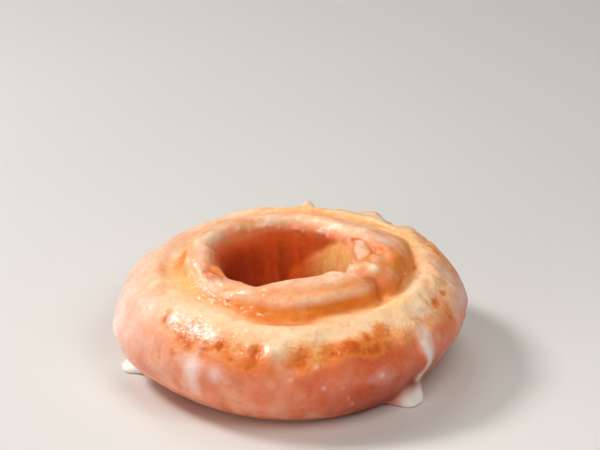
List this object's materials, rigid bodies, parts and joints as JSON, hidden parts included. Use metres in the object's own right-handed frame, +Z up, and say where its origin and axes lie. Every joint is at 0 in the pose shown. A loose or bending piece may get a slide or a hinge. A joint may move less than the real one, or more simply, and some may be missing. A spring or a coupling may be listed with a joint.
{
  "type": "ring doughnut",
  "caption": "Glazed ring doughnut with a raised, seamed collar round its hole, a valley outside it, a craggy cracked edge and small feet of set glaze at the base.",
  "frame": {"origin": "on the surface the doughnut rests on, under the middle of its bounding box", "axes": "+Z up through the hole, -Y towards the viewer of the picture, +X to that viewer's right"},
  "size_m": [0.0898, 0.0898, 0.0312],
  "materials": {
    "glazed_dough": "wet-looking clear sugar glaze over fried dough"
  },
  "bodies": {
    "root": {"doughnut": "glazed_dough"}
  },
  "joints": []
}
